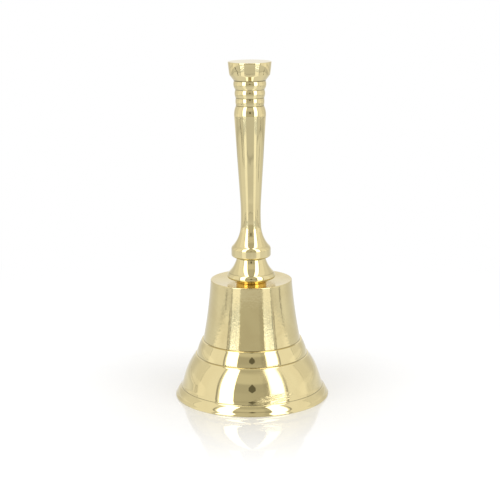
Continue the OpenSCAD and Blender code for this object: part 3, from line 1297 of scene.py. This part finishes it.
@dataclass
class SpringWasher:
    """A split spring washer of square wire, pressed flat. Sizes are in millimetres."""

    finish: bpy.types.Material
    node: str = "lock_washer"
    hole_r: float = 2.75
    edge: float = 0.12
    rim_in: float = 0.02
    gap: float = 15.0
    slant: float = 9.0
    steps: int = 72

    def build(self) -> bpy.types.Object:
        """Bend the wire round, close its ends, dress it and return the piece."""
        low, high = extent(self.node)
        middle = (low.z + high.z) / 2
        cut = ring_outline(low, high, self.hole_r, high.x - self.rim_in, self.edge)
        mesh = bmesh.new()
        mesh.verts.layers.float.new("crease")
        chain = [mesh.verts.new((radius * MM, 0, height * MM))
                 for radius, height in cut.points[:-1]]
        for pair in zip(chain, [*chain[1:], chain[0]]):
            mesh.edges.new(pair)
        begin = math.radians(90 + self.gap / 2)
        bmesh.ops.rotate(mesh, verts=chain, matrix=Matrix.Rotation(begin, 3, "Z"))
        spin(mesh, chain + mesh.edges[:], math.radians(360 - self.gap), self.steps, False)
        bmesh.ops.holes_fill(mesh, edges=[edge for edge in mesh.edges if edge.is_boundary])
        for vertex in mesh.verts:
            lean = (vertex.co.z / MM - middle) / (high.z - low.z) * math.radians(self.slant)
            vertex.co = Matrix.Rotation(lean, 3, "Z") @ vertex.co
        bmesh.ops.recalc_face_normals(mesh, faces=mesh.faces)
        piece = finished("spring_washer", [mesh], Body.BELL, [self.finish], 35.0)
        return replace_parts(piece, self.node)


@dataclass
class HexNut:
    """A hexagon nut with its corners chamfered off. Sizes are in millimetres."""

    node: str
    across_flats: float
    thread_r: float
    body: Body
    finish: bpy.types.Material
    chamfer: float = 0.35
    corner_cut: float = 0.05
    face_share: float = 0.98
    rim_rise: float = 0.01
    play: float = 0.02
    low_rim: int = 0
    high_rim: int = 0
    segments: int = 96

    def hexagon(self, spot: Spot) -> tuple[float, float]:
        """Bring the round blank's sides in to the hexagon's flats.

        Args:
            spot: The turned point.

        Returns:
            Its radius and height on the nut.
        """
        apothem = self.across_flats / 2
        turned = (spot.angle + TURN / 12) % (TURN / 6) - TURN / 12
        side = apothem / math.cos(TURN / 12 - abs(turned))
        side = min(side, apothem / math.cos(TURN / 12) - self.corner_cut)
        drop = (side - apothem) * math.tan(math.radians(30))
        if spot.number == self.low_rim:
            return side, spot.height + drop
        if spot.number == self.high_rim:
            return side, spot.height - drop
        return spot.radius, spot.height

    def build(self) -> bpy.types.Object:
        """Turn the blank, shape its flats, dress it and return the piece."""
        low, high = extent(self.node)
        apothem, bore = self.across_flats / 2, self.thread_r + self.play
        face = apothem * self.face_share
        cut = Outline(step=9.0)
        cut.start(bore + self.chamfer, low.z).line(face, low.z).line(apothem, low.z)
        self.low_rim = len(cut.line(apothem, low.z + self.rim_rise).points) - 1
        self.high_rim = len(cut.line(apothem, high.z - self.rim_rise).points) - 1
        cut.line(apothem, high.z).line(face, high.z)
        cut.line(bore + self.chamfer, high.z, crease=0.4)
        cut.line(bore, high.z - self.chamfer, crease=1.0)
        cut.line(bore, low.z + self.chamfer, crease=1.0)
        cut.line(bore + self.chamfer, low.z, crease=0.4)
        mesh = lathe(cut, self.segments, self.hexagon)
        piece = finished(f"{self.node}_hexagon", [mesh], self.body, [self.finish], 20.0)
        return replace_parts(piece, self.node)


@dataclass
class EyeBolt:
    """Bolt with a wire eye for the clapper's link. Sizes are in millimetres."""

    finishes: Finishes
    shank_r: float = 2.5
    eye_r: float = 3.0
    wire_r: float = 1.25
    tip: float = 0.6
    pitch: float = 0.8

    def build(self) -> bpy.types.Object:
        """Build the shank and the eye, dress them and return the piece."""
        low, high = extent("eye_bolt")
        eye_z = low.z + self.eye_r + self.wire_r
        root = eye_z + self.eye_r
        cut = Outline(step=self.pitch / 8, growth=1.0)
        cut.start(0, root).line(1.7, root).corner(self.shank_r, root + 0.7, 0.8)
        cut.line(self.shank_r, high.z - self.tip).line(self.shank_r - self.tip, high.z)
        cut.line(0, high.z)
        thread = Thread(self.shank_r, self.pitch, 0.42, root + 1.0, high.z - 0.3)
        shank = lathe(cut, 32, thread.shape)
        place = Matrix.Translation((0, 0, eye_z * MM)) @ Matrix.Rotation(TURN / 4, 4, "X")
        eye = wire_loop(self.eye_r, self.wire_r, place, 118.0)
        piece = finished("threaded_eye_bolt", [shank, eye], Body.BELL,
                         [self.finishes.zinc], 40.0)
        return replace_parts(piece, "eye_bolt")


@dataclass
class Link:
    """Closed wire link that the clapper swings on. Sizes are in millimetres."""

    finishes: Finishes
    wire_r: float = 0.9

    def build(self) -> bpy.types.Object:
        """Bend the link, dress it and return the piece."""
        low, high = extent("link_ring")
        centre = (low.z + high.z) / 2
        place = Matrix.Translation((0, 0, centre * MM)) @ Matrix.Rotation(TURN / 4, 4, "Y")
        ring = wire_loop((high.z - low.z) / 2 - self.wire_r, self.wire_r, place, 85.0)
        piece = finished("wire_link", [ring], Body.LINK, [self.finishes.wire])
        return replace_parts(piece, "link_ring")


@dataclass
class Clapper:
    """Rod with an eye, and the turned ball that two nuts hold on it. Sizes in millimetres."""

    finishes: Finishes
    rod_r: float = 1.5
    eye_r: float = 2.65
    wire_r: float = 1.05
    tip: float = 0.4
    pitch: float = 0.5

    def rod(self) -> bpy.types.Object:
        """Build the rod, dress it and return the piece."""
        low, high = extent("clapper_rod")
        eye_z = high.z - self.eye_r - self.wire_r
        root = eye_z - self.eye_r
        cut = Outline(step=self.pitch / 8, growth=1.0)
        cut.start(0, low.z).line(self.rod_r - self.tip, low.z)
        cut.line(self.rod_r, low.z + self.tip).line(self.rod_r, root - 0.5)
        cut.corner(1.05, root, 0.5).line(0, root)
        _, ball_top = extent("clapper_ball")
        thread = Thread(self.rod_r, self.pitch, 0.27, low.z + 0.2, ball_top.z + 5.0)
        shank = lathe(cut, 28, thread.shape)
        place = Matrix.Translation((0, 0, eye_z * MM)) @ Matrix.Rotation(TURN / 4, 4, "X")
        eye = wire_loop(self.eye_r, self.wire_r, place, -122.0)
        piece = finished("threaded_rod", [shank, eye], Body.CLAPPER,
                         [self.finishes.zinc], 40.0)
        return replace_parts(piece, "clapper_rod")

    def ball(self) -> bpy.types.Object:
        """Turn the ball, with a fine line where the lathe's two cuts met, and return it."""
        low, high = extent("clapper_ball")
        centre, size = (low.z + high.z) / 2, high.x
        half = (high.z - low.z) / 2
        flat_r = math.sqrt(size * size - half * half)
        hole, inset, out, rise = self.rod_r + 0.02, 0.1, 0.05, 0.04
        cut = Outline(step=0.3)
        cut.start(hole, low.z).line(flat_r - inset, low.z).line(flat_r + out, low.z + rise)
        cut.arc(flat_r + out, high.z - rise, size - flat_r - out, least=64)
        cut.line(flat_r - inset, high.z).line(hole, high.z).line(hole, low.z)
        line_z, line_half, line_depth = centre + 1.3, 0.2, 0.06

        def groove(spot: Spot) -> tuple[float, float]:
            """Sink the fine line into the ball's side."""
            near = max(0.0, 1 - abs(spot.height - line_z) / line_half)
            sunk = line_depth * near if spot.radius > size / 2 else 0.0
            return spot.radius - sunk, spot.height

        mesh = lathe(cut, 128, groove)
        piece = finished("turned_ball", [mesh], Body.CLAPPER, [self.finishes.ball])
        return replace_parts(piece, "clapper_ball")

    def build(self) -> None:
        """Build the rod, the ball and its nuts."""
        self.rod()
        self.ball()
        for node in ("upper_ball_nut", "lower_ball_nut"):
            HexNut(node, 5.5, self.rod_r, Body.CLAPPER, self.finishes.zinc, chamfer=0.2).build()


@dataclass
class CrownStack:
    """Collar over the crown, and the washers and nut under it."""

    finishes: Finishes
    hole_r: float = 2.7

    def build(self) -> None:
        """Build each ring and the nut."""
        given = self.finishes
        Washer("crown_collar", self.hole_r, 0.15, Slot.COLLAR, given.collar).build()
        Washer("leather_washer", self.hole_r, 0.25, Slot.LEATHER, given.leather, cut_edge=1.0,
               sway=0.12).build()
        Washer("crown_washer", self.hole_r, 0.12, Slot.WASHER, given.zinc, cut_edge=0.3).build()
        SpringWasher(given.wire).build()
        HexNut("clamp_nut", 8.0, 2.5, Body.BELL, given.zinc).build()


# ---------------------------------------------------------------- the studio


@dataclass(frozen=True)
class TentLook:
    """Brightness of the white tent by direction, as the polished brass reflects it.

    Angles are in degrees. Azimuth runs both ways from the camera's side, and a level of 1 is
    white. Stairs and bands named for sides run over the azimuth, those named for lifts over
    the height in degrees, and a share is what a dark mark takes off.
    """

    gap_edge: float = 30.5
    strip_edge: float = 53.5
    strip_lean: float = 0.09
    strip_level: float = 3.2
    strip_foot: float = 3.0
    gap_tint: Triple = (1.03, 1.0, 0.89)
    wall_tint: Triple = (1.02, 1.0, 0.96)
    low_tint: Triple = (0.97, 1.0, 0.97)
    lens_tint: Triple = (1.0, 0.95, 0.75)
    gap_lifts: Stairs = (0.60, (12.0, 17.0, 0.54), (28.0, 33.0, 0.74), (45.0, 53.0, 0.58))
    gap_sides: Stairs = (1.0, (18.0, 22.0, 0.86))
    wall_sides: Stairs = (1.07, (95.0, 104.0, 0.90), (118.0, 134.0, 0.76), (150.0, 163.0, 0.97))
    hump_lifts: Stairs = (4.8, (60.0, 77.0, 7.0), (77.0, 96.0, 9.8), (96.0, 116.0, 8.1),
                          (116.0, 136.0, 2.9))
    low_sides: Stairs = (-0.05, (74.0, 88.0, 0.08))
    shade_lifts: Stairs = (0.55, (25.0, 60.0, 0.1))
    shade_start: float = 3.2
    shade_wide: float = 3.4
    seam: Triple = (97.6, 99.2, 0.4)
    seam_lifts: Triple = (9.0, 42.0, 2.0)
    seam_share: float = 0.3
    line: Triple = (1.9, 2.7, 0.3)
    line_sides: Triple = (98.0, 142.0, 1.0)
    line_share: float = 0.25
    lens_level: float = 0.165
    lens_low: float = 15.3
    lens_high: float = 31.0
    lens_half: float = 6.0

    def material(self) -> bpy.types.Material:
        """Build the tent's glow and return the material."""
        made, graph = blank("tent_glow")
        place = graph.place()
        x, y, z = graph.split(place)
        flat = graph.hypot(x, y)
        side = graph.bearing(x, y)
        lift = graph.math("DEGREES", graph.math("ARCTAN2", z, flat))
        out = graph.math("ABSOLUTE", side)
        rough = graph.minus(graph.noise(place, 22.0, detail=4.0, roughness=0.65), 0.5)
        ragged = graph.plus(lift, graph.times(rough, 5.0))

        gap = graph.stair(lift, *self.gap_lifts)
        gap = graph.times(gap, graph.stair(side, *self.gap_sides))
        wall = graph.stair(out, *self.wall_sides)
        hump = graph.stair(out, *self.hump_lifts)
        low = graph.remap(graph.minus(ragged, hump), 0.3, -0.3)
        low = graph.times(low, graph.stair(out, *self.low_sides))
        wall = graph.plus(wall, low)

        leaning = graph.minus(out, graph.times(lift, self.strip_lean))
        past = self.strip_edge + self.shade_start
        shade = graph.times(graph.band(leaning, past, past + self.shade_wide, 0.5),
                            graph.stair(lift, *self.shade_lifts))
        wall = graph.times(wall, graph.minus(1.0, shade))
        bent = graph.plus(out, graph.times(rough, 2.0))
        seam = graph.times(graph.band(bent, *self.seam), graph.band(lift, *self.seam_lifts))
        wall = graph.dim(wall, seam, self.seam_share)
        line = graph.times(graph.band(ragged, *self.line), graph.band(out, *self.line_sides))
        wall = graph.dim(wall, line, self.line_share)

        inner = graph.remap(out, self.gap_edge - 0.8, self.gap_edge + 0.8, smooth=True)
        outer = graph.remap(leaning, self.strip_edge - 0.6, self.strip_edge + 0.6, 1.0, 0.0,
                            smooth=True)
        strip = graph.times(inner, outer)
        lit = graph.remap(ragged, self.strip_foot - 0.5, self.strip_foot + 0.7)
        strip_level = graph.stair(lit, 1.0, (0.0, 1.0, self.strip_level))

        level = graph.lerp(inner, gap, wall)
        level = graph.lerp(strip, level, strip_level)
        rise = graph.minus(lift, self.lens_low)
        fall = graph.minus(self.lens_high, lift)
        width = graph.math("MINIMUM", graph.times(rise, 1.5), graph.times(fall, 0.95))
        width = graph.math("MINIMUM", width, self.lens_half)
        lens = graph.remap(graph.minus(width, out), -0.4, 0.4)
        level = graph.lerp(lens, level, self.lens_level)

        tint = graph.mix(inner, (*self.gap_tint, 1.0), (*self.wall_tint, 1.0))
        dim = graph.times(strip, graph.minus(1.0, lit))
        tint = graph.mix(dim, tint, (*self.low_tint, 1.0))
        tint = graph.mix(lens, tint, (*self.lens_tint, 1.0))
        graph.surface(graph.emission(tint, level))
        return made


@dataclass(frozen=True)
class HemLook:
    """Turned-up hem of the tent below a bright strip. Lengths are in metres."""

    top: float = 0.070
    fold: float = 0.028
    edge: float = 51.8
    upper_level: float = 0.78
    upper_tint: Triple = (0.96, 1.0, 1.06)
    lower_level: float = 1.30
    edge_level: float = 0.55
    pleat_scale: Triple = (14.0, 14.0, 520.0)
    pleat_cut: Stairs = (0.0, (0.5, 0.58, 1.0))
    pleat_heights: Stairs = (0.0, (0.026, 0.056, 2.2))

    def material(self, name: str) -> bpy.types.Material:
        """Build the hem's glow, ragged along its top.

        Args:
            name: The material's name.

        Returns:
            The material.
        """
        made, graph = blank(name)
        place = graph.place()
        x, y, z = graph.split(place)
        out = graph.math("ABSOLUTE", graph.bearing(x, y))
        rough = graph.minus(graph.noise(place, 45.0, detail=4.0, roughness=0.7), 0.5)
        ragged = graph.plus(z, graph.times(rough, 0.018))
        upper = graph.remap(ragged, self.fold - 2 * MM, self.fold + 2 * MM, smooth=True)
        cloudy = graph.stair(graph.noise(place, 30.0, detail=3.0), self.upper_level - 0.08,
                             (0.4, 0.62, self.upper_level + 0.12))
        pleats = graph.noise(graph.mapping(place, self.pleat_scale), 1.0, detail=2.0)
        bright = graph.times(graph.stair(pleats, *self.pleat_cut),
                             graph.stair(z, *self.pleat_heights))
        cloudy = graph.plus(cloudy, bright)
        level = graph.lerp(upper, self.lower_level, cloudy)
        level = graph.lerp(graph.remap(out, self.edge - 0.5, self.edge + 0.5), level,
                           self.edge_level)
        light = graph.emission(graph.mix(upper, WHITE, (*self.upper_tint, 1)), level)
        past = graph.remap(ragged, self.top - 1.5 * MM, self.top + 1.5 * MM)
        clear = graph.add("BsdfTransparent").outputs[0]
        graph.surface(graph.chain("MixShader", past, light, clear))
        return made


@dataclass(frozen=True)
class FloorLook:
    """White acrylic floor with a soft reflection round the bell. Lengths are in metres."""

    gloss: float = 0.45
    gloss_start: float = 0.040
    gloss_end: float = 0.118
    fade_start: float = 0.10
    fade_end: float = 0.34
    lift: float = 0.34
    ring_centre: float = 0.10
    ring_wide: float = 0.62
    ring_deep: float = 0.53
    ring_levels: Stairs = (0.94, (0.995, 1.005, 0.80))
    hem: Triple = (0.98, 1.012, 0.004)
    hem_share: float = 0.28
    strip: Triple = (30.5, 54.0, 0.8)
    strip_levels: Stairs = (0.28, (0.5, 0.66, 0.42))
    front_levels: Stairs = (1.0, (0.0, 1.0, 0.92))
    patch: Triple = (0.33, 0.43, 0.006)
    patch_sides: Triple = (-1.0, 25.0, 1.5)
    patch_share: float = 0.1
    far_gain: float = 0.12
    crack: Triple = (-0.013, 0.013, 0.004)
    crack_sway: Stairs = (-0.05, (-0.75, -0.50, -0.17), (-0.30, 0.30, -0.055), (0.55, 0.75, 0.01))
    crack_share: float = 0.8
    roughness: float = 0.02

    def reflected_level(self, graph: Graph, place: bpy.types.NodeSocket) -> bpy.types.NodeSocket:
        """Brightness of the floor as the brass reflects it.

        Args:
            graph: The floor's material graph.
            place: Coordinates on the floor.

        Returns:
            The level, where 1 is white.
        """
        x, y, _ = graph.split(place)
        out = graph.math("ABSOLUTE", graph.bearing(x, y))
        away = graph.length(place)
        rough = graph.minus(graph.noise(place, 16.0, detail=4.0, roughness=0.65), 0.5)
        frayed = graph.times(rough, 0.12)

        across = graph.over(x, self.ring_wide)
        along = graph.over(graph.minus(y, self.ring_centre), self.ring_deep)
        ring = graph.plus(graph.hypot(across, along), frayed)
        level = graph.stair(ring, *self.ring_levels)
        level = graph.times(level, graph.remap(y, 0.04, 0.17, 1.0, 0.86, smooth=True))
        level = graph.dim(level, graph.band(ring, *self.hem), self.hem_share)

        strips = graph.band(out, *self.strip)
        level = graph.plus(level, graph.times(strips, graph.stair(away, *self.strip_levels)))
        front = graph.remap(out, 29.7, 31.3, 1.0, 0.0, smooth=True)
        level = graph.times(level, graph.stair(front, *self.front_levels))
        worn = graph.plus(away, graph.times(rough, 0.1))
        patch = graph.times(graph.band(worn, *self.patch), graph.band(out, *self.patch_sides))
        level = graph.dim(level, patch, self.patch_share)
        far = graph.times(front, graph.remap(away, 0.58, 0.75))
        level = graph.times(level, graph.plus(1.0, graph.times(far, self.far_gain)))

        sway = graph.stair(x, *self.crack_sway)
        wavy = graph.minus(y, graph.plus(sway, frayed))
        crack = graph.times(graph.band(wavy, *self.crack),
                            graph.remap(graph.math("ABSOLUTE", x), 0.405, 0.425))
        return graph.dim(level, crack, self.crack_share)

    def material(self) -> bpy.types.Material:
        """Build the floor's finish, clear from below and plain white far off, and return it."""
        made, graph = blank("white_acrylic")
        place = graph.place()
        away = graph.length(place)
        ray = graph.add("LightPath")
        seen, mirrored = ray.outputs["Is Camera Ray"], ray.outputs["Is Glossy Ray"]
        near = graph.remap(away, self.fade_start, self.fade_end, 1.0, 0.0, smooth=True)
        lit = graph.minus(1.0, graph.times(seen, graph.minus(1.0, near)))
        lit = graph.times(lit, graph.minus(1.0, mirrored))
        white = graph.wire(graph.add("BsdfDiffuse"),
                           Color=graph.mix(lit, (0, 0, 0, 1), (0.8, 0.8, 0.8, 1))).outputs[0]
        shown = graph.times(seen, graph.remap(near, 0.0, 1.0, 1.0, self.lift))
        level = self.reflected_level(graph, place)
        glow = graph.emission(WHITE, graph.plus(shown, graph.times(mirrored, level)))
        base = graph.chain("AddShader", white, glow)
        mirror = graph.wire(graph.add("BsdfGlossy"), Roughness=self.roughness).outputs[0]
        share = graph.remap(away, self.gloss_start, self.gloss_end, self.gloss, 0.0)
        top = graph.chain("MixShader", share, base, mirror)
        below = graph.add("NewGeometry").outputs["Backfacing"]
        clear = graph.add("BsdfTransparent").outputs[0]
        graph.surface(graph.chain("MixShader", below, top, clear))
        return made


@dataclass
class Studio:
    """Floor, tent, lamps and camera. None of it is part of the bell."""

    distance: float = 0.7103
    height: float = 0.2372
    aside: float = -0.00055
    pitch: float = 12.75
    roll: float = -0.45
    focal: float = 102.2
    tent_reach: float = 0.75
    hem_reach: float = 0.42
    hem_sides: tuple[float, float] = (30.5, 55.0)
    hem_heights: tuple[float, float] = (0.001, 0.09)
    floor_reach: float = 3.0

    def camera(self) -> None:
        """Place the camera in front of the bell, a little above it."""
        data = bpy.data.cameras.new("camera")
        data.lens = self.focal
        data.sensor_width = 36.0
        data.clip_start = 0.01
        camera = placed("camera", data)
        tilt = Matrix.Rotation(math.radians(90 - self.pitch), 4, "X")
        roll = Matrix.Rotation(math.radians(self.roll), 4, "Z")
        place = Matrix.Translation((self.aside, -self.distance, self.height))
        camera.matrix_world = place @ tilt @ roll
        bpy.context.scene.camera = camera

    def world(self) -> None:
        """Light everything from a pale surround that looks white in view and in reflections."""
        world = bpy.data.worlds.new("surround")
        world.use_nodes = True
        world.node_tree.nodes.clear()
        graph = Graph(world.node_tree)
        ray = graph.add("LightPath")
        seen = graph.math("MAXIMUM", ray.outputs["Is Camera Ray"], ray.outputs["Is Glossy Ray"])
        seen = graph.math("MAXIMUM", seen, ray.outputs["Is Transmission Ray"])
        light = graph.wire(graph.add("Background"), Color=WHITE,
                           Strength=graph.remap(seen, 0.0, 1.0, 0.6, 1.0))
        graph.wire(graph.add("OutputWorld"), Surface=light.outputs[0])
        bpy.context.scene.world = world

    def stage(self, name: str, mesh: bmesh.types.BMesh,
              material: bpy.types.Material) -> bpy.types.Object:
        """Put a mesh into the studio.

        Args:
            name: The object's name.
            mesh: Its mesh, which is freed.
            material: Its material.

        Returns:
            The object.
        """
        data = bpy.data.meshes.new(name)
        for face in mesh.faces:
            face.smooth = True
        mesh.to_mesh(data)
        mesh.free()
        data.materials.append(material)
        made = placed(name, data)
        return made

    def tent(self) -> None:
        """Put up the round tent, which only reflections see."""
        mesh = bmesh.new()
        bmesh.ops.create_uvsphere(mesh, u_segments=96, v_segments=48, radius=self.tent_reach)
        below = [vertex for vertex in mesh.verts if vertex.co.z < -MICRON]
        bmesh.ops.delete(mesh, geom=below, context="VERTS")
        bmesh.ops.reverse_faces(mesh, faces=mesh.faces)
        self.only_reflected(self.stage("tent", mesh, TentLook().material()))
        left, right = HemLook(), HemLook(upper_level=0.88)
        inner, outer = self.hem_sides
        self.hem("hem_left", (-outer, -inner), left.material("hem_left"))
        self.hem("hem_right", (inner, outer), right.material("hem_right"))

    def hem(self, name: str, sides: tuple[float, float], material: bpy.types.Material) -> None:
        """Hang one hem of the tent in front of its wall.

        Args:
            name: The hem's name.
            sides: Its two sides, in degrees to the right of the camera's side.
            material: Its glow.
        """
        first, last = (math.radians(angle) for angle in sides)
        mesh = bmesh.new()
        way = Vector((math.sin(first), -math.cos(first), 0)) * self.hem_reach
        rib = [mesh.verts.new(way + Vector((0, 0, height))) for height in self.hem_heights]
        edge = mesh.edges.new(rib)
        spin(mesh, [*rib, edge], last - first, 16, False)
        self.only_reflected(self.stage(name, mesh, material))

    @staticmethod
    def only_reflected(piece: bpy.types.Object) -> None:
        """Hide a piece of the tent from everything but reflections."""
        piece.visible_camera = False
        piece.visible_diffuse = False
        piece.visible_shadow = False

    def floor(self) -> None:
        """Lay the glossy white floor."""
        mesh = bmesh.new()
        bmesh.ops.create_circle(mesh, cap_ends=True, segments=64, radius=self.floor_reach)
        self.stage("floor", mesh, FloorLook().material())

    def lamp(self, name: str, place: Vector, size: float, power: float) -> None:
        """Add a soft square lamp that points at the bell and isn't seen in reflections.

        Args:
            name: The lamp's name.
            place: Where it hangs.
            size: Length of its side.
            power: Its power in watts.
        """
        data = bpy.data.lights.new(name, "AREA")
        data.shape = "SQUARE"
        data.size = size
        data.energy = power
        lamp = placed(name, data)
        lamp.visible_glossy = False
        lamp.location = place
        lamp.rotation_mode = "QUATERNION"
        lamp.rotation_quaternion = (Vector((0, 0, 0.08)) - place).to_track_quat("-Z", "Y")

    def build(self) -> None:
        """Set the studio up."""
        self.camera()
        self.world()
        self.tent()
        self.floor()
        for name, aside in (("lamp_left", -0.7), ("lamp_right", 0.7)):
            self.lamp(name, Vector((aside, -0.5, 0.9)), 0.8, 4.0)
        bpy.context.scene.view_settings.view_transform = "Standard"


def main() -> None:
    """Build the studio and every piece."""
    logging.basicConfig(level=logging.INFO, format="%(name)s: %(message)s")
    Studio().build()
    finishes = Finishes()
    BellCup(finishes).build()
    Handle(finishes).build()
    CrownStack(finishes).build()
    EyeBolt(finishes).build()
    Link(finishes).build()
    Clapper(finishes).build()


if __name__ == "__main__":
    main()
